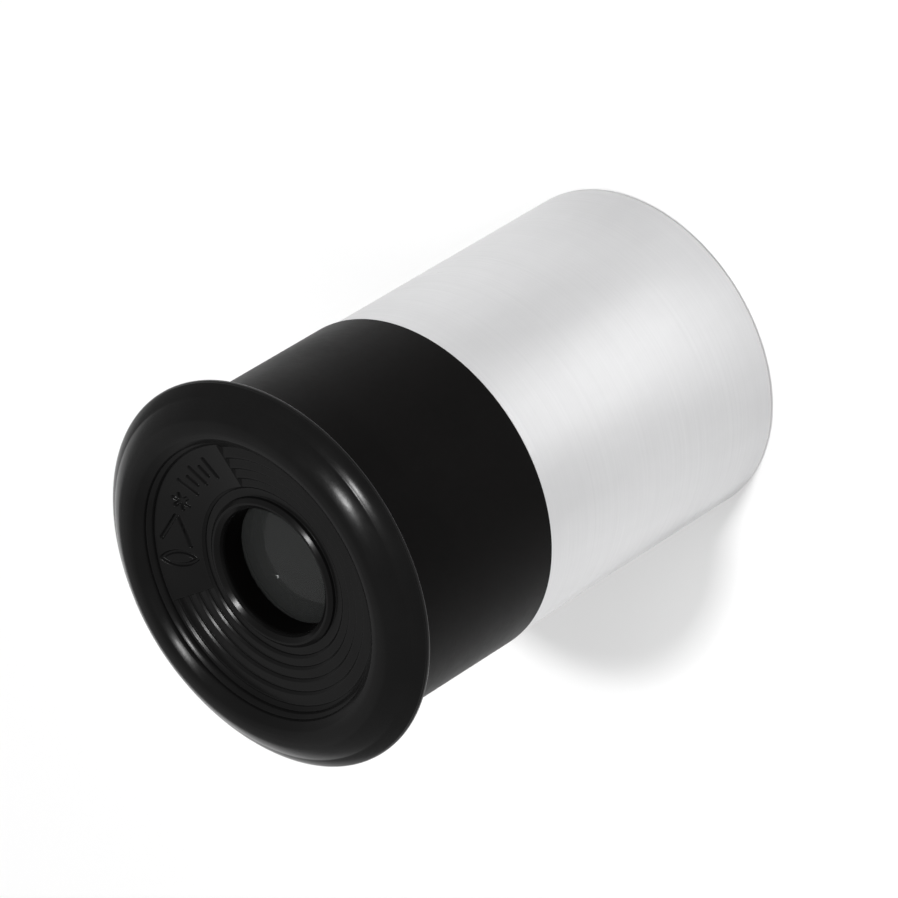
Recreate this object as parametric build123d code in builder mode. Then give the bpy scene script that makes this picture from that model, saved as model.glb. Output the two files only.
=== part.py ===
from build123d import *
import math
import os

# Huygenian telescope eyepiece with a 24.5 mm push-fit barrel, in millimetres.
# +Z is the optical axis, towards the eye. The origin is the centre of the barrel's open end,
# which the eyepiece stands on. The marked panel of the dished face is centred on +Y.

# ---------------------------------------------------------------- driving dimensions

# Barrel
BARREL_R = 12.25
BARREL_LENGTH = 24.0
BARREL_BORE_R = 11.4
BARREL_MOUTH_R = 11.6
BARREL_MOUTH_DEPTH = 9.2
BARREL_CHAMFER = 0.25

# Head: body, spigot and rim
BODY_R = 12.44
SHOULDER_CHAMFER = 0.12
PILOT_R = 11.35
PILOT_LENGTH = 1.3
SPIGOT_R = 10.95
SPIGOT_BORE_R = 9.9
SPIGOT_LENGTH = 4.6
RIM_R = 14.1
RIM_UNDERSIDE_Z = 38.35
RIM_EDGE_ROUND = 0.25
RIM_NECK_ROUND = 0.4

# Head: top of the rim, as (radius, z) points from the rim's wall in to the dished face. Every second
# point ends an arc, and the point between two ends is the one that the arc passes through.
RIM_PROFILE = (
    (RIM_R, 38.75),
    (13.85, 39.02),
    (13.25, 39.48),
    (12.7, 39.95),
    (12.15, 40.3),
    (11.75, 40.46),
    (11.3, 40.52),
    (10.95, 40.49),
    (10.66, 40.38),
    (10.42, 40.215),
    (10.18, 40.02),
    (10.12, 39.9),
    (10.1, 39.77),
    (9.97, 39.68),
    (9.84, 39.57),
    (9.78, 39.45),
    (9.75, 39.3),
)

# Head: dished face, from the rim inwards
FIRST_TREAD_Z = 39.2
STEP_RADII = (9.65, 8.7, 7.85, 7.05, 6.3)
STEP_DROP = 0.22
STEP_BEVEL = (0.17, 0.12)
RISER_LEAN = 0.04
STEP_ROUND = 0.1
COLLAR_R = 5.5
COLLAR_TOP_Z = 38.56
COLLAR_PROFILE = ((5.48, 38.36), (5.2, COLLAR_TOP_Z), (5.05, COLLAR_TOP_Z), (4.74, 38.33))
COLLAR_ROUND = 0.08
EYE_HOLE_R = 4.63
EYE_APERTURE_R = 4.6

# Head: marked panel and its engraved lens pictogram
PANEL_ARC = 98.0
PANEL_RAISE = 0.05
PANEL_OVERLAP = 0.2
MARK_R = 8.15
MARK_WIDTH = 0.24
MARK_DEPTH = 0.2
MARK_LENS_ANGLE = 120
MARK_LENS_HALF_HEIGHT = 1.35
MARK_LENS_BOW = 0.5
MARK_RAY_ANGLE = 104
MARK_RAY_OFFSET = 0.6
MARK_RAY_LENGTH = 2.3
MARK_RAY_LEAN = 25
MARK_STAR_ANGLE = 87
MARK_STAR_LENGTH = 1.2
MARK_STAR_TURNS = (30, 90, 150)
MARK_TICK_ANGLES = (76, 70.5, 65, 59.5, 54)
MARK_TICK_LENGTHS = (1.5, 0.8, 1.5, 0.8, 1.5)

# Optics: focal lengths, glass index and lens sizes
GLASS_INDEX = 1.52
EYE_FOCAL = 15.0
FIELD_FOCAL = 30.0
LENS_SPACING = 22.5
EYE_LENS_R = 5.0
EYE_LENS_THICKNESS = 2.6
EYE_LENS_FLAT_Z = 36.25
LENS_BEVEL = 0.08
FIELD_LENS_R = 8.0
FIELD_LENS_THICKNESS = 3.2
STOP_APERTURE_R = 5.4
STOP_THICKNESS = 0.5

# Seats, rings, clearances and tolerances
SEAT_GAP = 0.05
FACE_GAP = 0.02
EYE_RING_R = 6.15
EYE_RING_INNER_R = 4.4
EYE_RING_THICKNESS = 1.4
HUB_R = 7.5
HUB_BOTTOM_Z = 32.6
POCKET_TOP_Z = 36.0
FIELD_RING_R = 8.55
FIELD_RING_INNER_R = 7.3
FIELD_RING_THICKNESS = 1.6
FIELD_APERTURE_R = 7.5
CELL_R = 11.35
CELL_LEDGE = 1.8
CELL_BELOW_RING = 1.6
CELL_CHAMFER = 0.3
CELL_FLARE = (1.1, 0.4)
BAFFLE_R = 9.6
BAFFLE_WALL = 0.7
BAFFLE_LIP_R = 6.6
BAFFLE_LIP = 1.0
SPACER_WALL = 1.7
STOP_LAND = 0.1
STOP_FLARE = 0.9
SPANNER_SLOT_WIDTH = 0.9
SPANNER_SLOT_DEPTH = 0.6
CUT_CLEARANCE = 1.0
SAME_SPOT = 0.001

# ---------------------------------------------------------------- derived sizes

eye_curve_r = EYE_FOCAL * (GLASS_INDEX - 1)
field_curve_r = FIELD_FOCAL * (GLASS_INDEX - 1)
eye_vertex_z = EYE_LENS_FLAT_Z - EYE_LENS_THICKNESS
field_vertex_z = eye_vertex_z - LENS_SPACING
field_flat_z = field_vertex_z + FIELD_LENS_THICKNESS
stop_z = eye_vertex_z - EYE_FOCAL

spigot_end_z = BARREL_LENGTH - SPIGOT_LENGTH
pilot_end_z = BARREL_LENGTH - PILOT_LENGTH
eye_ledge_z = EYE_LENS_FLAT_Z + FACE_GAP
above_head_z = max(z for r, z in RIM_PROFILE) + CUT_CLEARANCE
face_r = RIM_PROFILE[-1][0]
tread_heights = [FIRST_TREAD_Z - STEP_DROP * i for i in range(len(STEP_RADII) + 1)]
groove_z = tread_heights[-1]
panel_start = 90 - PANEL_ARC / 2


def sag(curve_r, radius):
    """Height of a spherical lens face above its vertex at the given radius."""
    return curve_r - math.sqrt(curve_r**2 - radius**2)


def corners_at(corners, radii):
    """The corners of a radial section that lie at one of the given radii."""
    return corners.filter_by(lambda v: any(math.isclose(v.X, r, abs_tol=SAME_SPOT) for r in radii))


def radial_plane(angle):
    """Upright half-plane through the optical axis: local x is the radius, local y is Z."""
    return Plane.XZ.rotated((0, 0, angle))


def panel_height(radius):
    """Height of the marked panel, a cone that runs level with the tops of the steps."""
    slope = (tread_heights[0] - tread_heights[-2]) / (STEP_RADII[0] - STEP_RADII[-1])
    return tread_heights[0] + PANEL_RAISE + (radius - STEP_RADII[0]) * slope


# Top of each retaining ring: just under the lens face at the ring's inner edge.
eye_ring_top_z = eye_vertex_z + sag(eye_curve_r, EYE_RING_INNER_R) - FACE_GAP
field_ring_top_z = field_vertex_z + sag(field_curve_r, FIELD_RING_INNER_R) - FACE_GAP
cell_top_z = field_flat_z + CELL_LEDGE
cell_bottom_z = field_ring_top_z - FIELD_RING_THICKNESS - CELL_BELOW_RING

# ---------------------------------------------------------------- engraved pictogram
# A lens with two rays that meet at a focus, a small star, and a row of ticks.


def mark_spot(angle, radius=MARK_R):
    """Place on the panel, turned so that local y runs radially outwards."""
    a = math.radians(angle)
    return Location((radius * math.cos(a), radius * math.sin(a), 0), (0, 0, angle - 90))


# Two bowed lines that meet at the rim of the lens.
lens_bottom = (0, -MARK_LENS_HALF_HEIGHT)
lens_top = (0, MARK_LENS_HALF_HEIGHT)
lens_bows = [ThreePointArc(lens_bottom, (side * MARK_LENS_BOW, 0), lens_top) for side in (-1, 1)]

with BuildSketch() as mark_strokes:
    with Locations(mark_spot(MARK_LENS_ANGLE)):
        for bow in lens_bows:
            SlotArc(bow, MARK_WIDTH)
    # Rays that leave the lens and meet at the focus.
    for side in (-1, 1):
        with Locations(mark_spot(MARK_RAY_ANGLE, MARK_R + side * MARK_RAY_OFFSET)):
            SlotCenterToCenter(MARK_RAY_LENGTH, MARK_WIDTH, rotation=-side * MARK_RAY_LEAN)
    # Star at the focus.
    with Locations(mark_spot(MARK_STAR_ANGLE)):
        for turn in MARK_STAR_TURNS:
            SlotCenterToCenter(MARK_STAR_LENGTH, MARK_WIDTH, rotation=turn)
    # Row of ticks, alternately long and short.
    for angle, length in zip(MARK_TICK_ANGLES, MARK_TICK_LENGTHS):
        with Locations(mark_spot(angle)):
            SlotCenterToCenter(length, MARK_WIDTH, rotation=90)

with BuildPart() as engraving:
    add(mark_strokes.sketch)
    extrude(amount=above_head_z)
    with BuildSketch(radial_plane(0)):
        with BuildLine():
            Polyline(
                (STEP_RADII[-1], panel_height(STEP_RADII[-1]) - MARK_DEPTH),
                (face_r, panel_height(face_r) - MARK_DEPTH),
                (face_r, above_head_z),
                (STEP_RADII[-1], above_head_z),
                close=True,
            )
        make_face()
    revolve(axis=Axis.Z, mode=Mode.INTERSECT)

# ---------------------------------------------------------------- head

with BuildPart() as eye_cap:
    with BuildSketch(radial_plane(0)) as cap_section:
        with BuildLine():
            # Spigot, pilot, shoulder and body.
            Polyline(
                (SPIGOT_BORE_R, spigot_end_z),
                (SPIGOT_R, spigot_end_z),
                (SPIGOT_R, pilot_end_z),
                (PILOT_R, pilot_end_z),
                (PILOT_R, BARREL_LENGTH),
                (BODY_R - SHOULDER_CHAMFER, BARREL_LENGTH),
                (BODY_R, BARREL_LENGTH + SHOULDER_CHAMFER),
                (BODY_R, RIM_UNDERSIDE_Z),
                (RIM_R, RIM_UNDERSIDE_Z),
                RIM_PROFILE[0],
            )
            # Lip, flank, crest, and two rounded beads down to the stepped face.
            for start, through, end in zip(RIM_PROFILE[::2], RIM_PROFILE[1::2], RIM_PROFILE[2::2]):
                ThreePointArc(start, through, end)
            # Steps down to the last tread, which runs up to the eye hole's collar.
            stairs = [RIM_PROFILE[-1]]
            for radius, upper_z, lower_z in zip(STEP_RADII, tread_heights, tread_heights[1:]):
                riser_r = radius - STEP_BEVEL[0]
                stairs += [
                    (radius, upper_z),
                    (riser_r, upper_z - STEP_BEVEL[1]),
                    (riser_r - RISER_LEAN, lower_z),
                ]
            Polyline(*stairs, (COLLAR_R, groove_z), *COLLAR_PROFILE, (EYE_HOLE_R, groove_z))
            # Eye hole, lens seat, ring thread, hub and moulding pocket.
            Polyline(
                (EYE_HOLE_R, groove_z),
                (EYE_APERTURE_R, eye_ledge_z),
                (EYE_LENS_R + SEAT_GAP, eye_ledge_z),
                (EYE_LENS_R + SEAT_GAP, eye_ring_top_z),
                (EYE_RING_R + SEAT_GAP, eye_ring_top_z),
                (EYE_RING_R + SEAT_GAP, HUB_BOTTOM_Z),
                (HUB_R, HUB_BOTTOM_Z),
                (HUB_R, POCKET_TOP_Z),
                (SPIGOT_BORE_R, POCKET_TOP_Z),
                (SPIGOT_BORE_R, spigot_end_z),
            )
        make_face()

        corners = cap_section.vertices()
        fillet(corners_at(corners, (RIM_R,)), RIM_EDGE_ROUND)
        neck = corners_at(corners, (BODY_R,)).sort_by(Axis.Z)[-1]
        fillet(neck, RIM_NECK_ROUND)
        fillet(corners_at(corners, STEP_RADII), STEP_ROUND)
        fillet(corners_at(corners, [r for r, z in COLLAR_PROFILE]), COLLAR_ROUND)
    revolve(axis=Axis.Z)

    # Marked panel: a sector of the dish without steps.
    with BuildSketch(radial_plane(panel_start)):
        with BuildLine():
            Polyline(
                (STEP_RADII[-1], groove_z - PANEL_OVERLAP),
                (STEP_RADII[-1], panel_height(STEP_RADII[-1])),
                (face_r + PANEL_OVERLAP, panel_height(face_r)),
                (face_r + PANEL_OVERLAP, groove_z - PANEL_OVERLAP),
                close=True,
            )
        make_face()
    revolve(axis=Axis.Z, revolution_arc=PANEL_ARC)
    add(engraving.part, mode=Mode.SUBTRACT)

# ---------------------------------------------------------------- barrel

with BuildPart() as barrel_tube:
    with BuildSketch():
        Circle(BARREL_R)
        Circle(BARREL_BORE_R, mode=Mode.SUBTRACT)
    extrude(amount=BARREL_LENGTH)
    # The open end is bored a little wider, up to the field lens cell.
    with BuildSketch():
        Circle(BARREL_MOUTH_R)
    extrude(amount=BARREL_MOUTH_DEPTH, mode=Mode.SUBTRACT)
    mouth_edges = barrel_tube.edges().group_by(Axis.Z)[0]
    chamfer(mouth_edges, BARREL_CHAMFER)
    outer_top_edge = barrel_tube.edges().group_by(Axis.Z)[-1].sort_by(SortBy.RADIUS)[-1]
    chamfer(outer_top_edge, SHOULDER_CHAMFER)

# ---------------------------------------------------------------- lenses
# Both are plano-convex, with the flat face towards the eye.


def lens_outline(radius, flat_z, thickness, curve_r):
    """Half-section of a plano-convex lens with small ground edges."""
    vertex_z = flat_z - thickness
    rim_r = radius - LENS_BEVEL
    edge_z = vertex_z + sag(curve_r, rim_r)
    mid_r = rim_r / 2
    ThreePointArc((0, vertex_z), (mid_r, vertex_z + sag(curve_r, mid_r)), (rim_r, edge_z))
    Polyline(
        (rim_r, edge_z),
        (radius, edge_z + LENS_BEVEL),
        (radius, flat_z - LENS_BEVEL),
        (rim_r, flat_z),
        (0, flat_z),
        (0, vertex_z),
    )


with BuildPart() as eye_lens:
    with BuildSketch(radial_plane(0)):
        with BuildLine():
            lens_outline(EYE_LENS_R, EYE_LENS_FLAT_Z, EYE_LENS_THICKNESS, eye_curve_r)
        make_face()
    revolve(axis=Axis.Z)

with BuildPart() as field_lens:
    with BuildSketch(radial_plane(0)):
        with BuildLine():
            lens_outline(FIELD_LENS_R, field_flat_z, FIELD_LENS_THICKNESS, field_curve_r)
        make_face()
    revolve(axis=Axis.Z)

# ---------------------------------------------------------------- retaining rings
# Each has two spanner slots across its lower face.

with BuildPart() as eye_lens_ring:
    with BuildSketch(Plane.XY.offset(eye_ring_top_z - FACE_GAP)):
        Circle(EYE_RING_R)
        Circle(EYE_RING_INNER_R, mode=Mode.SUBTRACT)
    extrude(amount=-EYE_RING_THICKNESS)
    with BuildSketch(Plane.XY.offset(eye_ring_top_z - FACE_GAP - EYE_RING_THICKNESS)):
        Rectangle(2 * (EYE_RING_R + CUT_CLEARANCE), SPANNER_SLOT_WIDTH)
    extrude(amount=SPANNER_SLOT_DEPTH, mode=Mode.SUBTRACT)

with BuildPart() as field_lens_ring:
    with BuildSketch(Plane.XY.offset(field_ring_top_z)):
        Circle(FIELD_RING_R)
        Circle(FIELD_RING_INNER_R, mode=Mode.SUBTRACT)
    extrude(amount=-FIELD_RING_THICKNESS)
    with BuildSketch(Plane.XY.offset(field_ring_top_z - FIELD_RING_THICKNESS)):
        Rectangle(2 * (FIELD_RING_R + CUT_CLEARANCE), SPANNER_SLOT_WIDTH)
    extrude(amount=SPANNER_SLOT_DEPTH, mode=Mode.SUBTRACT)

# ---------------------------------------------------------------- field lens cell

with BuildPart() as field_lens_cell:
    with BuildSketch(radial_plane(0)):
        with BuildLine():
            Polyline(
                (FIELD_APERTURE_R, field_flat_z),
                (FIELD_LENS_R + SEAT_GAP, field_flat_z),
                (FIELD_LENS_R + SEAT_GAP, field_ring_top_z),
                (FIELD_RING_R + SEAT_GAP, field_ring_top_z),
                (FIELD_RING_R + SEAT_GAP, cell_bottom_z + CELL_CHAMFER),
                (FIELD_RING_R + SEAT_GAP + CELL_CHAMFER, cell_bottom_z),
                (CELL_R - CELL_CHAMFER, cell_bottom_z),
                (CELL_R, cell_bottom_z + CELL_CHAMFER),
                (CELL_R, cell_top_z),
                (FIELD_APERTURE_R + CELL_FLARE[0], cell_top_z),
                (FIELD_APERTURE_R, field_flat_z + CELL_FLARE[1]),
                close=True,
            )
        make_face()
    revolve(axis=Axis.Z)
    # Spanner slots across the cell's lower face.
    with BuildSketch(Plane.XY.offset(cell_bottom_z)):
        Rectangle(2 * (CELL_R + CUT_CLEARANCE), SPANNER_SLOT_WIDTH)
    extrude(amount=SPANNER_SLOT_DEPTH, mode=Mode.SUBTRACT)

# ---------------------------------------------------------------- spacers and field stop

with BuildPart() as stop_spacer:
    with BuildSketch(Plane.XY.offset(cell_top_z)):
        Circle(CELL_R)
        Circle(CELL_R - SPACER_WALL, mode=Mode.SUBTRACT)
    extrude(amount=stop_z - cell_top_z)

with BuildPart() as field_stop:
    with BuildSketch(radial_plane(0)):
        with BuildLine():
            Polyline(
                (STOP_APERTURE_R, stop_z),
                (CELL_R, stop_z),
                (CELL_R, stop_z + STOP_THICKNESS),
                (STOP_APERTURE_R + STOP_FLARE, stop_z + STOP_THICKNESS),
                (STOP_APERTURE_R, stop_z + STOP_LAND),
                close=True,
            )
        make_face()
    revolve(axis=Axis.Z)

baffle_bottom_z = stop_z + STOP_THICKNESS
baffle_top_z = HUB_BOTTOM_Z - 2 * SEAT_GAP

with BuildPart() as baffle_tube:
    with BuildSketch(Plane.XY.offset(baffle_bottom_z)):
        Circle(BAFFLE_R)
        Circle(BAFFLE_R - BAFFLE_WALL, mode=Mode.SUBTRACT)
    extrude(amount=baffle_top_z - baffle_bottom_z)
    with BuildSketch(Plane.XY.offset(baffle_top_z)):
        Circle(BAFFLE_R)
        Circle(BAFFLE_LIP_R, mode=Mode.SUBTRACT)
    extrude(amount=-BAFFLE_LIP)

# ---------------------------------------------------------------- export

os.makedirs("parts", exist_ok=True)

eye_cap.part.label = "eye_cap"
export_step(eye_cap.part, "parts/eye_cap.step")

barrel_tube.part.label = "barrel_tube"
export_step(barrel_tube.part, "parts/barrel_tube.step")

eye_lens.part.label = "eye_lens"
export_step(eye_lens.part, "parts/eye_lens.step")

eye_lens_ring.part.label = "eye_lens_ring"
export_step(eye_lens_ring.part, "parts/eye_lens_ring.step")

baffle_tube.part.label = "baffle_tube"
export_step(baffle_tube.part, "parts/baffle_tube.step")

field_stop.part.label = "field_stop"
export_step(field_stop.part, "parts/field_stop.step")

stop_spacer.part.label = "stop_spacer"
export_step(stop_spacer.part, "parts/stop_spacer.step")

field_lens_cell.part.label = "field_lens_cell"
export_step(field_lens_cell.part, "parts/field_lens_cell.step")

field_lens.part.label = "field_lens"
export_step(field_lens.part, "parts/field_lens.step")

field_lens_ring.part.label = "field_lens_ring"
export_step(field_lens_ring.part, "parts/field_lens_ring.step")
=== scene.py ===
import math

import bpy
import numpy as np
from mathutils import Matrix, Vector


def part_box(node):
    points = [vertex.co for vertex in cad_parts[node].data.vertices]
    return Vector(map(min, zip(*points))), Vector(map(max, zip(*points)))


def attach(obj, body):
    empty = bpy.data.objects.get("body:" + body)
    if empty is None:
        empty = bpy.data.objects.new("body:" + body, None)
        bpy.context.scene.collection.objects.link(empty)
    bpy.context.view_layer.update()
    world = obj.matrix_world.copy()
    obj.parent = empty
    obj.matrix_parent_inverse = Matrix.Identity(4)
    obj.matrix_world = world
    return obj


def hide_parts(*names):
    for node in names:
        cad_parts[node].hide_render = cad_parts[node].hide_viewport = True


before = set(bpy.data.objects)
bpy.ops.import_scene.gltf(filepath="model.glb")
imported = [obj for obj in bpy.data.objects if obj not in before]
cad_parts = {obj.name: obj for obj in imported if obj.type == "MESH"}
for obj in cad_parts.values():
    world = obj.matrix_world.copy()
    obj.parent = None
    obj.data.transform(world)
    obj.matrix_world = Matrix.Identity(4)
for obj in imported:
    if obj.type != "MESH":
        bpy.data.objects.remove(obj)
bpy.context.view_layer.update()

# A telescope eyepiece standing on the open end of its barrel. Lengths below are in millimetres,
# and MM turns them into the frame's metres. +Z is the optical axis, towards the eye.

MM = 0.001

# ---------------------------------------------------------------- sizes read from the frame

cap_low, cap_high = (Vector(corner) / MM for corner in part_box("eye_cap"))
barrel_high = Vector(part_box("barrel_tube")[1]) / MM
eye_lens_low, eye_lens_high = (Vector(corner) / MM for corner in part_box("eye_lens"))

RIM_R = cap_high.x
CREST_Z = cap_high.z
SPIGOT_END_Z = cap_low.z
BARREL_R = barrel_high.x
SHOULDER_Z = barrel_high.z
EYE_LENS_R = eye_lens_high.x
EYE_LENS_FLAT_Z = eye_lens_high.z
EYE_LENS_VERTEX_Z = eye_lens_low.z

# ---------------------------------------------------------------- head: sizes as in the CAD part

BODY_R = 12.44
SHOULDER_CHAMFER = 0.12
PILOT_R = 11.35
PILOT_END_Z = 22.7
SPIGOT_R = 10.95
SPIGOT_BORE_R = 9.9
RIM_UNDERSIDE_Z = 38.35
RIM_EDGE_ROUND = 0.25
RIM_NECK_ROUND = 0.4

# Top of the rim, as (radius, z) points from its wall in to the dished face. Every second point ends
# an arc, and the point between two ends is the one that the arc passes through.
RIM_PROFILE = (
    (RIM_R, 38.75),
    (13.85, 39.02),
    (13.25, 39.48),
    (12.7, 39.95),
    (12.15, 40.3),
    (11.75, 40.46),
    (11.3, CREST_Z),
    (10.95, 40.49),
    (10.66, 40.38),
    (10.42, 40.215),
    (10.18, 40.02),
    (10.12, 39.9),
    (10.1, 39.77),
    (9.97, 39.68),
    (9.84, 39.57),
    (9.78, 39.45),
    (9.75, 39.3),
)
FACE_R, FACE_Z = RIM_PROFILE[-1]

FIRST_TREAD_Z = 39.2
STEP_RADII = (9.65, 8.7, 7.85, 7.05, 6.3)
STEP_DROP = 0.22
STEP_BEVEL = (0.17, 0.12)
STEP_ROUND = 0.1
RISER_LEAN = 0.04
TREAD_HEIGHTS = [FIRST_TREAD_Z - STEP_DROP * i for i in range(len(STEP_RADII) + 1)]
GROOVE_Z = TREAD_HEIGHTS[-1]
LAST_RISER_R = STEP_RADII[-1] - STEP_BEVEL[0] - RISER_LEAN
COLLAR_R = 5.5
COLLAR_TOP_Z = 38.56
COLLAR_PROFILE = ((5.48, 38.36), (5.2, COLLAR_TOP_Z), (5.05, COLLAR_TOP_Z), (4.74, 38.33))
COLLAR_ROUND = 0.08
EYE_HOLE_R = 4.63
EYE_APERTURE_R = 4.6
EYE_RING_TOP_Z = 34.99
EYE_RING_POCKET_R = 6.2
HUB_R = 7.5
HUB_BOTTOM_Z = 32.6
POCKET_TOP_Z = 36.0
SEAT_GAP = 0.05
FACE_GAP = 0.02

PANEL_ARC = 98.0
PANEL_START = 90 - PANEL_ARC / 2
PANEL_RAISE = 0.05
PANEL_WALL = 0.3
MARK_R = 8.15
MARK_WIDTH = 0.24
MARK_DEPTH = 0.2
MARK_SOFTNESS = 0.1
MARK_LENS_ANGLE = 120
MARK_LENS_HALF_HEIGHT = 1.35
MARK_LENS_BOW = 0.5
MARK_RAY_ANGLE = 104
MARK_RAY_OFFSET = 0.6
MARK_RAY_LENGTH = 2.3
MARK_RAY_LEAN = 25
MARK_STAR_ANGLE = 87
MARK_STAR_LENGTH = 1.2
MARK_STAR_TURNS = (30, 90, 150)
MARK_TICK_ANGLES = (76, 70.5, 65, 59.5, 54)
MARK_TICK_LENGTHS = (1.5, 0.8, 1.5, 0.8, 1.5)

# Resolution of the head's mesh: degrees between columns, millimetres between rings on the panel.
COLUMN_STEP = 2.0
PANEL_COLUMN_STEP = 0.28
COLUMN_GROWTH = 1.1
PANEL_RING_STEP = 0.045

# ---------------------------------------------------------------- barrel, thread and eye lens

BARREL_BORE_R = 11.4
BARREL_MOUTH_R = 11.6
BARREL_MOUTH_DEPTH = 9.2
BARREL_CHAMFER = 0.25
THREAD_PITCH = 0.75
THREAD_LOW_Z = 19.75
THREAD_HIGH_Z = 22.55
THREAD_SUNK = 0.03
THREAD_ROOT_HALF = 0.17
THREAD_CREST_HALF = 0.05
THREAD_FADE_TURNS = 0.3
THREAD_STEPS_PER_TURN = 90
SPIGOT_THREAD_R = 11.3
BARREL_THREAD_R = 11.05
EYE_CURVE_R = 7.8
LENS_BEVEL = 0.08


# ---------------------------------------------------------------- outlines


def arc_through(a, b, c, count):
    """Points on the circle arc from a to c that passes through b, without a itself."""
    (ax, ay), (bx, by), (cx, cy) = a, b, c
    d = 2 * (ax * (by - cy) + bx * (cy - ay) + cx * (ay - by))
    aa, bb, cc = ax**2 + ay**2, bx**2 + by**2, cx**2 + cy**2
    ox = (aa * (by - cy) + bb * (cy - ay) + cc * (ay - by)) / d
    oy = (aa * (cx - bx) + bb * (ax - cx) + cc * (bx - ax)) / d
    radius = math.hypot(ax - ox, ay - oy)
    start, middle, end = (math.atan2(y - oy, x - ox) for x, y in (a, b, c))
    full = 2 * math.pi
    sweep = (end - start) % full
    if (middle - start) % full > sweep:
        sweep -= full
    angles = [start + sweep * i / count for i in range(1, count + 1)]
    return [(ox + radius * math.cos(t), oy + radius * math.sin(t)) for t in angles]


def rounded(corners, count=5):
    """An open outline from (radius, z, rounding) corners, with each rounded corner as a small arc."""
    points = []
    for i, (x, y, rounding) in enumerate(corners):
        if rounding == 0 or i in (0, len(corners) - 1):
            points.append((x, y))
            continue
        here = Vector((x, y))
        before = (Vector(corners[i - 1][:2]) - here).normalized()
        after = (Vector(corners[i + 1][:2]) - here).normalized()
        half = before.angle(after) / 2
        reach = rounding / math.tan(half)
        centre = here + (before + after).normalized() * (rounding / math.sin(half))
        first, last = here + before * reach, here + after * reach
        crown = centre + (here - centre).normalized() * rounding
        points.append(tuple(first))
        points += arc_through(tuple(first), tuple(crown), tuple(last), count)
    return points


# ---------------------------------------------------------------- meshes


def mesh_object(name, points, faces):
    """A piece from points in millimetres."""
    mesh = bpy.data.meshes.new(name)
    mesh.from_pydata((np.array(points, dtype=float) * MM).tolist(), [], faces)
    piece = bpy.data.objects.new(name, mesh)
    bpy.context.scene.collection.objects.link(piece)
    return piece


def shade_round(piece):
    """Smooth shading that keeps the larger faces flat."""
    piece.data.shade_smooth()
    weighted = piece.modifiers.new("face normals", "WEIGHTED_NORMAL")
    weighted.weight = 60
    return piece


def grid_object(name, rows):
    """A piece from closed rows of (x, y, z) points, each joined to the next round the axis."""
    columns = len(rows)
    rings = len(rows[0])
    faces = []
    for i in range(columns):
        here, there = i * rings, (i + 1) % columns * rings
        for j in range(rings):
            k = (j + 1) % rings
            faces.append((here + j, there + j, there + k, here + k))
    return shade_round(mesh_object(name, [point for row in rows for point in row], faces))


def lathe(name, outline, segments):
    """A closed outline of (radius, z) points, listed anticlockwise, turned about the axis."""
    turns = [2 * math.pi * i / segments for i in range(segments)]
    rows = [[(r * math.cos(t), r * math.sin(t), z) for r, z in outline] for t in turns]
    return grid_object(name, rows)


def solid_of_revolution(name, outline, segments=192):
    """As lathe, for an outline that starts and ends on the axis: its two poles are closed by fans."""
    turns = [2 * math.pi * i / segments for i in range(segments)]
    inner = outline[1:-1]
    points = [(0, 0, outline[0][1]), (0, 0, outline[-1][1])]
    for t in turns:
        points += [(r * math.cos(t), r * math.sin(t), z) for r, z in inner]
    count = len(inner)
    faces = []
    for i in range(segments):
        here, there = 2 + i * count, 2 + (i + 1) % segments * count
        faces.append((0, there, here))
        faces.append((1, here + count - 1, there + count - 1))
        for j in range(count - 1):
            faces.append((here + j, there + j, there + j + 1, here + j + 1))
    return shade_round(mesh_object(name, points, faces))


def thread(name, root_r, crest_r, phase):
    """A right-hand V thread: one ridge wound up the axis, fading in and out at its ends."""
    turns = (THREAD_HIGH_Z - THREAD_LOW_Z) / THREAD_PITCH
    count = int(turns * THREAD_STEPS_PER_TURN)
    points = []
    for i in range(count + 1):
        turn = turns * i / count
        angle = 2 * math.pi * (turn + THREAD_LOW_Z / THREAD_PITCH) + phase
        z = THREAD_LOW_Z + turn * THREAD_PITCH
        grow = min(1.0, turn / THREAD_FADE_TURNS, (turns - turn) / THREAD_FADE_TURNS)
        tip = root_r + (crest_r - root_r) * grow
        section = (
            (root_r, -THREAD_ROOT_HALF),
            (tip, -THREAD_CREST_HALF),
            (tip, THREAD_CREST_HALF),
            (root_r, THREAD_ROOT_HALF),
        )
        points += [(r * math.cos(angle), r * math.sin(angle), z + dz) for r, dz in section]
    ring = len(section)
    faces = []
    for i in range(count):
        for j in range(ring):
            k = (j + 1) % ring
            faces.append((i * ring + j, (i + 1) * ring + j, (i + 1) * ring + k, i * ring + k))
    faces.append(tuple(range(ring)))
    faces.append(tuple(count * ring + j for j in reversed(range(ring))))
    if crest_r < root_r:
        faces = [tuple(reversed(face)) for face in faces]
    return mesh_object(name, points, faces)


# ---------------------------------------------------------------- engraved pictogram
# A lens with two rays that meet at a focus, a small star, and a row of ticks.


def mark_point(angle, across, out, radius=MARK_R):
    """A point of the pictogram, from its place on the panel and local steps across and outwards."""
    a = math.radians(angle)
    x = radius * math.cos(a) + across * math.sin(a) + out * math.cos(a)
    y = radius * math.sin(a) - across * math.cos(a) + out * math.sin(a)
    return x, y


def mark_line(angle, length, turn, radius=MARK_R):
    """A straight stroke, centred on its place on the panel, turned from across towards outwards."""
    lean = math.radians(turn)
    across, out = length / 2 * math.cos(lean), length / 2 * math.sin(lean)
    return tuple(mark_point(angle, end * across, end * out, radius) for end in (-1, 1))


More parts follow.
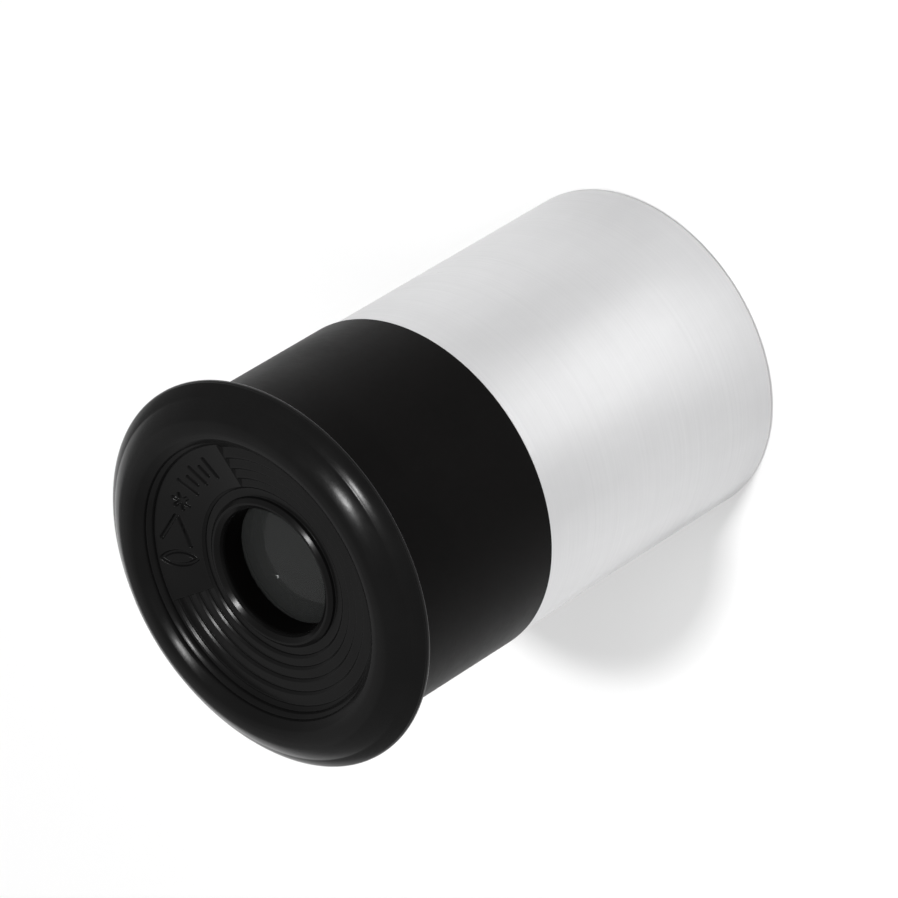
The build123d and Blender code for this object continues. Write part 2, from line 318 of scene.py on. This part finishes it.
def mark_strokes():
    """Every stroke of the pictogram as a pair of end points."""
    strokes = []
    bottom, top = (0, -MARK_LENS_HALF_HEIGHT), (0, MARK_LENS_HALF_HEIGHT)
    for side in (-1, 1):
        bow = [bottom] + arc_through(bottom, (side * MARK_LENS_BOW, 0), top, 10)
        line = [mark_point(MARK_LENS_ANGLE, x, y) for x, y in bow]
        strokes += list(zip(line, line[1:]))
    for side in (-1, 1):
        radius = MARK_R + side * MARK_RAY_OFFSET
        strokes.append(mark_line(MARK_RAY_ANGLE, MARK_RAY_LENGTH, -side * MARK_RAY_LEAN, radius))
    strokes += [mark_line(MARK_STAR_ANGLE, MARK_STAR_LENGTH, turn) for turn in MARK_STAR_TURNS]
    strokes += [mark_line(angle, length, 90) for angle, length in zip(MARK_TICK_ANGLES, MARK_TICK_LENGTHS)]
    return strokes


def engraving_depth(x, y):
    """Depth of the pictogram's groove at each point, in millimetres."""
    nearest = np.full(x.shape, np.inf)
    for (ax, ay), (bx, by) in mark_strokes():
        dx, dy = bx - ax, by - ay
        along = np.clip(((x - ax) * dx + (y - ay) * dy) / (dx * dx + dy * dy), 0, 1)
        nearest = np.minimum(nearest, np.hypot(x - ax - along * dx, y - ay - along * dy))
    inside = np.clip((MARK_WIDTH / 2 + MARK_SOFTNESS / 2 - nearest) / MARK_SOFTNESS, 0, 1)
    return MARK_DEPTH * inside * inside * (3 - 2 * inside)


# ---------------------------------------------------------------- head


def step_outline():
    """The dish's steps, from the face's outer edge in to the groove, with rounded edges."""
    corners = [(FACE_R, FACE_Z, 0)]
    for radius, upper_z, lower_z in zip(STEP_RADII, TREAD_HEIGHTS, TREAD_HEIGHTS[1:]):
        riser_r = radius - STEP_BEVEL[0]
        corners += [
            (radius, upper_z, STEP_ROUND),
            (riser_r, upper_z - STEP_BEVEL[1], 0.05),
            (riser_r - RISER_LEAN, lower_z, 0.02),
        ]
    corners.append((COLLAR_R, GROOVE_Z, 0))
    return rounded(corners, count=4)[:-1]


def panel_height(radius):
    """Height of the marked panel, a cone that runs level with the tops of the steps."""
    slope = (TREAD_HEIGHTS[0] - TREAD_HEIGHTS[-2]) / (STEP_RADII[0] - STEP_RADII[-1])
    return TREAD_HEIGHTS[0] + PANEL_RAISE + (radius - STEP_RADII[0]) * slope


def plain_columns():
    """Column angles round the unmarked part of the head: close by the panel, wider away from it."""
    half = (360 - PANEL_ARC) / 2
    offsets = [PANEL_WALL]
    step = PANEL_COLUMN_STEP
    while offsets[-1] < half:
        step = min(step * COLUMN_GROWTH, COLUMN_STEP)
        offsets.append(offsets[-1] + step)
    stretch = (half - PANEL_WALL) / (offsets[-1] - PANEL_WALL)
    offsets = [PANEL_WALL + (a - PANEL_WALL) * stretch for a in offsets]
    start = PANEL_START + PANEL_ARC
    return [start + a for a in offsets] + [start + 360 - PANEL_ARC - a for a in offsets[-2::-1]]


def eye_cap_moulding():
    """The black head in one skin: spigot, body, domed rim, dished face, collar and lens seat."""
    outside = rounded([
        (SPIGOT_BORE_R, SPIGOT_END_Z + 1, 0),
        (SPIGOT_BORE_R, SPIGOT_END_Z, 0.15),
        (SPIGOT_R, SPIGOT_END_Z, 0.25),
        (SPIGOT_R, PILOT_END_Z, 0.08),
        (PILOT_R, PILOT_END_Z, 0.12),
        (PILOT_R, SHOULDER_Z, 0.05),
        (BODY_R, SHOULDER_Z, 0.14),
        (BODY_R, RIM_UNDERSIDE_Z, RIM_NECK_ROUND),
        (RIM_R, RIM_UNDERSIDE_Z, RIM_EDGE_ROUND),
        (*RIM_PROFILE[0], 0.2),
        (*RIM_PROFILE[1], 0),
    ], count=8)[:-1]
    rim = []
    for start, through, end in zip(RIM_PROFILE[::2], RIM_PROFILE[1::2], RIM_PROFILE[2::2]):
        rim += arc_through(start, through, end, 14)

    steps = step_outline()
    step_r, step_z = (np.array(values)[::-1] for values in zip(*steps))
    fine = np.arange(LAST_RISER_R + PANEL_RING_STEP, FACE_R, PANEL_RING_STEP)
    dish_r = np.unique(np.round(np.concatenate([step_r, fine]), 4))[::-1][1:]

    inside = rounded([
        (LAST_RISER_R, GROOVE_Z, 0),
        (COLLAR_R, GROOVE_Z, 0.04),
        *((radius, z, COLLAR_ROUND) for radius, z in COLLAR_PROFILE),
        (EYE_HOLE_R, GROOVE_Z, 0.3),
        (EYE_APERTURE_R, EYE_LENS_FLAT_Z + FACE_GAP, 0.05),
        (EYE_LENS_R + SEAT_GAP, EYE_LENS_FLAT_Z + FACE_GAP, 0),
        (EYE_LENS_R + SEAT_GAP, EYE_RING_TOP_Z, 0.05),
        (EYE_RING_POCKET_R, EYE_RING_TOP_Z, 0),
        (EYE_RING_POCKET_R, HUB_BOTTOM_Z, 0.15),
        (HUB_R, HUB_BOTTOM_Z, 0.15),
        (HUB_R, POCKET_TOP_Z, 0),
        (SPIGOT_BORE_R, POCKET_TOP_Z, 0),
        (SPIGOT_BORE_R, SPIGOT_END_Z + 2, 0),
    ], count=6)[1:]

    panel_count = int(PANEL_ARC / PANEL_COLUMN_STEP)
    panel_columns = [PANEL_START + PANEL_ARC * i / panel_count for i in range(panel_count + 1)]
    plain_z = np.interp(dish_r, step_r, step_z)
    cone_z = np.maximum(panel_height(dish_r), plain_z)
    on_panel = dish_r > STEP_RADII[-1] - 0.01

    def column(angle, marked):
        c, s = math.cos(math.radians(angle)), math.sin(math.radians(angle))
        dish_z = plain_z
        if marked:
            dish_z = np.where(on_panel, cone_z - engraving_depth(dish_r * c, dish_r * s), plain_z)
        outline = outside + rim + list(zip(dish_r, dish_z)) + inside
        return [(r * c, r * s, z) for r, z in outline]

    rows = [column(angle, False) for angle in plain_columns()]
    rows += [column(angle, True) for angle in panel_columns]
    return grid_object("eye_cap_moulding", rows)


# ---------------------------------------------------------------- barrel and eye lens


def barrel_shell():
    """The bright tube: chamfered mouth, wider bore below the field lens cell, and a plain bore at its
    upper end for the thread, which is a piece of its own.
    """
    chamfer = BARREL_CHAMFER
    outline = rounded([
        (BARREL_MOUTH_R, 1.0, 0),
        (BARREL_MOUTH_R, chamfer, 0.05),
        (BARREL_MOUTH_R + chamfer, 0, 0.03),
        (BARREL_R - chamfer, 0, 0.05),
        (BARREL_R, chamfer, 0.1),
        (BARREL_R, SHOULDER_Z - SHOULDER_CHAMFER, 0.05),
        (BARREL_R - SHOULDER_CHAMFER, SHOULDER_Z, 0.03),
        (BARREL_BORE_R, SHOULDER_Z, 0.05),
        (BARREL_BORE_R, BARREL_MOUTH_DEPTH, 0.03),
        (BARREL_MOUTH_R, BARREL_MOUTH_DEPTH, 0),
        (BARREL_MOUTH_R, 2.0, 0),
    ])
    return lathe("barrel_shell", outline, segments=288)


def eye_lens_glass():
    """The plano-convex eye lens, flat towards the eye; slot 1 is its bevelled, ground edge."""
    face_r = EYE_LENS_R - LENS_BEVEL
    rings = 28

    def curve_z(radius):
        return EYE_LENS_VERTEX_Z + EYE_CURVE_R - math.sqrt(EYE_CURVE_R**2 - radius**2)

    curve_radii = [face_r * i / rings for i in range(rings + 1)]
    outline = [(radius, curve_z(radius)) for radius in curve_radii]
    outline += [(EYE_LENS_R, curve_z(face_r) + LENS_BEVEL), (EYE_LENS_R, EYE_LENS_FLAT_Z - LENS_BEVEL)]
    outline += [(face_r, EYE_LENS_FLAT_Z), (face_r / 2, EYE_LENS_FLAT_Z), (0, EYE_LENS_FLAT_Z)]
    piece = solid_of_revolution("eye_lens_glass", outline)
    edge_start = (face_r - 0.01) * MM
    for face in piece.data.polygons:
        corners = [piece.data.vertices[i].co.xy for i in face.vertices]
        face.material_index = int(all(corner.length > edge_start for corner in corners))
    return piece


# ---------------------------------------------------------------- materials

WEAR_RADIUS = 0.12


class Nodes:
    """Short ways to add and join the nodes of one material."""

    def __init__(self, name):
        self.material = bpy.data.materials.new(name)
        self.material.use_nodes = True
        self.tree = self.material.node_tree
        self.shader = self.tree.nodes["Principled BSDF"]

    def add(self, kind, **settings):
        node = self.tree.nodes.new(kind)
        for key, value in settings.items():
            setattr(node, key, value)
        return node

    def link(self, source, target):
        self.tree.links.new(source, target)

    def constant(self, **values):
        for key, value in values.items():
            self.shader.inputs[key.replace("_", " ")].default_value = value

    def place(self, scale=(1, 1, 1)):
        """Object coordinates in millimetres, stretched by scale."""
        coordinates = self.add("ShaderNodeTexCoord")
        mapping = self.add("ShaderNodeMapping")
        mapping.inputs["Scale"].default_value = [s / MM for s in scale]
        self.link(coordinates.outputs["Object"], mapping.inputs["Vector"])
        return mapping.outputs["Vector"]

    def height(self):
        """Height above the floor in millimetres, for the pieces at rest."""
        split = self.add("ShaderNodeSeparateXYZ")
        self.link(self.place(), split.inputs["Vector"])
        return split.outputs["Z"]

    def noise(self, place, scale, detail=4.0, roughness=0.55):
        node = self.add("ShaderNodeTexNoise")
        node.inputs["Scale"].default_value = scale
        node.inputs["Detail"].default_value = detail
        node.inputs["Roughness"].default_value = roughness
        self.link(place, node.inputs["Vector"])
        return node.outputs["Fac"]

    def spread(self, value, low, high, start=0.3, end=0.7):
        """Maps value from start..end to low..high, held at the ends."""
        node = self.add("ShaderNodeMapRange")
        node.inputs["From Min"].default_value = start
        node.inputs["From Max"].default_value = end
        node.inputs["To Min"].default_value = low
        node.inputs["To Max"].default_value = high
        self.link(value, node.inputs["Value"])
        return node.outputs["Result"]

    def mix(self, factor, a, b):
        node = self.add("ShaderNodeMix", data_type="RGBA")
        self.link(factor, node.inputs["Factor"])
        for socket, colour in ((node.inputs[6], a), (node.inputs[7], b)):
            if isinstance(colour, bpy.types.NodeSocket):
                self.link(colour, socket)
            else:
                socket.default_value = (*colour, 1)
        return node.outputs[2]

    def math(self, operation, a, b):
        node = self.add("ShaderNodeMath", operation=operation)
        for socket, value in zip(node.inputs, (a, b)):
            if isinstance(value, bpy.types.NodeSocket):
                self.link(value, socket)
            else:
                socket.default_value = value
        return node.outputs[0]

    def bump(self, height, distance, strength=1.0, below=None):
        node = self.add("ShaderNodeBump")
        node.inputs["Strength"].default_value = strength
        node.inputs["Distance"].default_value = distance
        self.link(height, node.inputs["Height"])
        if below:
            self.link(below, node.inputs["Normal"])
        return node.outputs["Normal"]

    def edges(self):
        """Nought on plain faces, one along corners tighter than WEAR_RADIUS."""
        bevel = self.add("ShaderNodeBevel", samples=4)
        bevel.inputs["Radius"].default_value = WEAR_RADIUS * MM
        geometry = self.add("ShaderNodeNewGeometry")
        agreement = self.add("ShaderNodeVectorMath", operation="DOT_PRODUCT")
        self.link(bevel.outputs["Normal"], agreement.inputs[0])
        self.link(geometry.outputs["Normal"], agreement.inputs[1])
        return self.spread(agreement.outputs["Value"], 0, 1, 0.99, 0.85)


def black_plastic():
    """Satin black moulded plastic: cloudy sheen, fine grain, rubbed edges, scuffs, a duller body, and
    painted light: a lighter black on the upturned rim and face than on the body's side.
    """
    m = Nodes("black_plastic")
    place = m.place()
    cloud = m.noise(place, 0.22, 3)
    grain = m.noise(place, 6.0, 6, 0.7)
    scuffs = m.noise(m.place((0.5, 0.5, 3.0)), 1.6, 8, 0.75)
    rubbed = m.math("MULTIPLY", m.edges(), m.spread(scuffs, 0.25, 1.0))
    # Above the groove the finish is glossier, and the black is painted lighter there: painted light on the
    # upturned rim and face, which catch more light than the body's side.
    rim_finish_and_painted_light = m.spread(m.height(), 0, 1, GROOVE_Z - 0.3, GROOVE_Z)
    body = m.mix(m.spread(cloud, 0, 1), (0.0022, 0.0019, 0.0018), (0.0032, 0.0028, 0.0027))
    rim = m.mix(m.spread(cloud, 0, 1), (0.0054, 0.0053, 0.0053), (0.0070, 0.0069, 0.0069))
    m.link(m.mix(rubbed, m.mix(rim_finish_and_painted_light, body, rim), (0.018, 0.018, 0.018)), m.shader.inputs["Base Color"])
    m.link(m.spread(rim_finish_and_painted_light, 0.04, 0.09), m.shader.inputs["Specular IOR Level"])
    sheen = m.math("ADD", m.spread(cloud, 0.17, 0.22), m.spread(scuffs, -0.02, 0.05))
    sheen = m.math("ADD", sheen, m.spread(rim_finish_and_painted_light, 0.2, 0))
    m.link(sheen, m.shader.inputs["Roughness"])
    moulded = m.bump(m.noise(place, 1.3, 3), 0.006 * MM, 0.5)
    m.link(m.bump(grain, 0.003 * MM, 0.5, moulded), m.shader.inputs["Normal"])
    m.constant(IOR=1.5)
    return m.material


def bright_metal():
    """Satin aluminium tube, turned on a lathe: fine lines round it, cloudy sheen, bright worn edges."""
    m = Nodes("bright_metal")
    cloud = m.noise(m.place((1, 1, 0.45)), 0.16, 3)
    lines = m.noise(m.place((0.06, 0.06, 9.0)), 1.0, 6, 0.7)
    rub_marks = m.noise(m.place((0.3, 0.3, 2.5)), 0.9, 7, 0.7)
    tone = m.mix(m.spread(cloud, 0, 1), (0.58, 0.58, 0.585), (0.64, 0.64, 0.645))
    tone = m.mix(m.spread(lines, 0, 0.18), tone, (0.47, 0.47, 0.48))
    m.link(m.mix(m.edges(), tone, (0.80, 0.80, 0.80)), m.shader.inputs["Base Color"])
    sheen = m.math("ADD", m.spread(cloud, 0.30, 0.38), m.spread(lines, -0.04, 0.05))
    m.link(m.math("ADD", sheen, m.spread(rub_marks, -0.02, 0.03)), m.shader.inputs["Roughness"])
    m.link(m.bump(lines, 0.0025 * MM, 0.6), m.shader.inputs["Normal"])
    m.constant(Metallic=1.0)
    return m.material


def blackened_metal():
    """Matt black anodised rings and tubes, with turning lines and a little bare metal on the edges."""
    m = Nodes("blackened_metal")
    place = m.place()
    lines = m.noise(m.place((0.1, 0.1, 7.0)), 1.0, 5, 0.65)
    dust = m.noise(place, 2.5, 6, 0.7)
    tone = m.mix(m.spread(dust, 0, 1), (0.040, 0.040, 0.041), (0.058, 0.057, 0.056))
    worn = m.math("MULTIPLY", m.edges(), m.spread(dust, 0.1, 0.6))
    m.link(m.mix(worn, tone, (0.16, 0.16, 0.16)), m.shader.inputs["Base Color"])
    m.link(m.spread(lines, 0.48, 0.62), m.shader.inputs["Roughness"])
    m.link(m.bump(lines, 0.003 * MM, 0.7), m.shader.inputs["Normal"])
    m.constant(Specular_IOR_Level=0.4)
    return m.material


def lens_glass(name, clearness, film, index):
    """Glass with faint wipe marks; clearness and film say how much passes and how much dust shows.

    A coated lens reflects less than bare glass, so its index is given lower than the glass's own.
    """
    m = Nodes(name)
    wipes = m.noise(m.place((1.4, 0.5, 1)), 0.5, 5, 0.65)
    m.link(m.spread(wipes, 0.0, 0.05), m.shader.inputs["Roughness"])
    dull = (0.96 * clearness, clearness, 0.98 * clearness)
    clean = tuple(1.03 * tone for tone in dull)
    m.link(m.mix(m.spread(wipes, 0, 1), dull, clean), m.shader.inputs["Base Color"])
    m.constant(Transmission_Weight=1 - film, IOR=index, Specular_IOR_Level=0.1)
    return m.material


def ground_glass():
    """The lens's ground edge: matt, dark with the maker's edge ink, a little of it missing."""
    m = Nodes("ground_glass")
    chips = m.noise(m.place(), 3.0, 6, 0.7)
    tone = m.mix(m.spread(chips, 0, 1), (0.05, 0.05, 0.052), (0.085, 0.085, 0.088))
    m.link(tone, m.shader.inputs["Base Color"])
    m.link(m.spread(chips, 0.7, 0.9), m.shader.inputs["Roughness"])
    m.link(m.bump(chips, 0.004 * MM, 0.6), m.shader.inputs["Normal"])
    m.constant(Specular_IOR_Level=0.2)
    return m.material


def pale_floor():
    """A nearly white matt floor, which glows a little so that it stays even."""
    m = Nodes("pale_floor")
    cloud = m.noise(m.place(), 0.004, 3)
    tone = m.mix(m.spread(cloud, 0, 1), (0.79, 0.79, 0.79), (0.81, 0.81, 0.81))
    m.link(tone, m.shader.inputs["Base Color"])
    m.link(m.spread(cloud, 0.8, 0.9), m.shader.inputs["Roughness"])
    m.constant(Specular_IOR_Level=0.1, Emission_Color=(1, 1, 1, 1), Emission_Strength=0.2)
    return m.material


def paint(piece, material):
    """Gives every slot of a piece, or its one new slot, this material."""
    if not piece.material_slots:
        piece.data.materials.append(material)
    for material_slot in piece.material_slots:
        material_slot.material = material


# ---------------------------------------------------------------- build the object

plastic, metal, blackened = black_plastic(), bright_metal(), blackened_metal()
# Painted shade: the eye lens glass is tinted dark, clearness 0.15 where clear glass passes about 0.95, so
# that what shows through it is dimmed.
eye_glass_painted_dark = lens_glass("eye_lens_glass_painted_dark", clearness=0.15, film=0.13, index=1.2)
plain_glass = lens_glass("plain_lens_glass", clearness=0.95, film=0.01, index=1.52)

head = eye_cap_moulding()
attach(head, "head")
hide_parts("eye_cap")
paint(head, plastic)

head_thread = thread("spigot_thread", SPIGOT_R - THREAD_SUNK, SPIGOT_THREAD_R, 0)
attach(head_thread, "head")
paint(head_thread, plastic)

barrel = barrel_shell()
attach(barrel, "barrel")
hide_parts("barrel_tube")
paint(barrel, metal)

barrel_thread = thread("barrel_thread", BARREL_BORE_R + THREAD_SUNK, BARREL_THREAD_R, math.pi)
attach(barrel_thread, "barrel")
paint(barrel_thread, metal)

lens = eye_lens_glass()
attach(lens, "lens_carrier")
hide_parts("eye_lens")
# The eye lens gets the darkly tinted glass: painted shade.
paint(lens, eye_glass_painted_dark)
lens.data.materials.append(ground_glass())

BLACKENED_NODES = (
    "eye_lens_ring",
    "baffle_tube",
    "field_stop",
    "stop_spacer",
    "field_lens_cell",
    "field_lens_ring",
)
for name in BLACKENED_NODES:
    paint(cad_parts[name], blackened)
paint(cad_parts["field_lens"], plain_glass)

# ---------------------------------------------------------------- floor, light and camera

FLOOR_HALF = 2000.0
floor_corners = [(x * FLOOR_HALF, y * FLOOR_HALF, 0) for x, y in ((-1, -1), (1, -1), (1, 1), (-1, 1))]
floor = mesh_object("floor", floor_corners, [(0, 1, 2, 3)])
paint(floor, pale_floor())


def direction(turn, rise):
    """Unit vector at an angle from +X round the axis, and an angle above the floor."""
    t, r = math.radians(turn), math.radians(rise)
    return Vector((math.cos(r) * math.cos(t), math.cos(r) * math.sin(t), math.sin(r)))


def add_light(name, data, target, offset, mirrored):
    """Hangs a light at an offset from its target, facing it; mirrored says if reflections show it."""
    light = bpy.data.objects.new(name, data)
    bpy.context.scene.collection.objects.link(light)
    light.location = target + offset
    light.rotation_euler = offset.to_track_quat("Z", "Y").to_euler()
    light.visible_glossy = mirrored


def softbox(name, turn, rise, distance, width, height, watts, mirrored=True):
    """An area light that faces the middle of the eyepiece."""
    data = bpy.data.lights.new(name, "AREA")
    data.shape = "RECTANGLE"
    data.size, data.size_y, data.energy = width, height, watts
    add_light(name, data, Vector((0, 0, 20)) * MM, direction(turn, rise) * distance, mirrored)


POOL_LAMP_TURN = -30
POOL_LAMP_RISE = 65
POOL_LAMP_DISTANCE = 0.3
POOL_LAMP_R = 0.006


def floor_pool(name, turn, watts, reach, spread):
    """A soft spot that lights the floor beside the barrel, which the barrel reflects as a pale band."""
    data = bpy.data.lights.new(name, "SPOT")
    data.energy = watts
    data.spot_size = math.radians(spread)
    data.spot_blend = 1.0
    data.shadow_soft_size = POOL_LAMP_R
    offset = direction(POOL_LAMP_TURN, POOL_LAMP_RISE) * POOL_LAMP_DISTANCE
    add_light(name, data, direction(turn, 0) * reach, offset, mirrored=False)


# Lights, by turn from +X, rise above the floor and distance in metres.
softbox("key_softbox", turn=-8, rise=69, distance=0.6, width=0.052, height=0.042, watts=1.9)
softbox("back_panel", turn=150, rise=42, distance=1.0, width=1.1, height=0.8, watts=0.6)
softbox("top_fill", turn=-60, rise=75, distance=0.9, width=0.7, height=0.7, watts=1.6, mirrored=False)
floor_pool("front_near_pool", turn=-30, watts=0.9, reach=0.0205, spread=4.5)
floor_pool("front_far_pool", turn=-30, watts=2.2, reach=0.036, spread=8.0)
floor_pool("left_pool", turn=-125, watts=0.7, reach=0.03, spread=8.0)
floor_pool("right_pool", turn=64, watts=0.9, reach=0.03, spread=8.0)

world = bpy.data.worlds.new("studio")
bpy.context.scene.world = world
world.use_nodes = True
sky = world.node_tree.nodes["Background"]
sky.inputs["Color"].default_value = (1.0, 1.0, 1.0, 1)
sky.inputs["Strength"].default_value = 0.42

CAMERA_AIM = Vector((0.46, 0.80, 19.47)) * MM
CAMERA_TURN = -30.0
CAMERA_RISE = 40.23
CAMERA_ROLL = 121.32
CAMERA_DISTANCE = 0.4859
CAMERA_LENS = 284.55


def long_camera():
    """A long lens from above, rolled so that the optical axis runs down to the left."""
    data = bpy.data.cameras.new("camera")
    data.lens = CAMERA_LENS
    data.sensor_width = 36.0
    data.clip_start, data.clip_end = 0.01, 20.0
    camera = bpy.data.objects.new("camera", data)
    bpy.context.scene.collection.objects.link(camera)
    back = direction(CAMERA_TURN, CAMERA_RISE)
    upright = (Vector((0, 0, 1)) - back * back.z).normalized()
    sideways = upright.cross(back)
    roll = math.radians(CAMERA_ROLL)
    up = upright * math.cos(roll) + sideways * math.sin(roll)
    right = up.cross(back)
    axes = Matrix((right, up, back)).transposed().to_4x4()
    camera.matrix_world = Matrix.Translation(CAMERA_AIM + back * CAMERA_DISTANCE) @ axes
    bpy.context.scene.camera = camera


long_camera()
bpy.context.scene.view_settings.view_transform = "Standard"
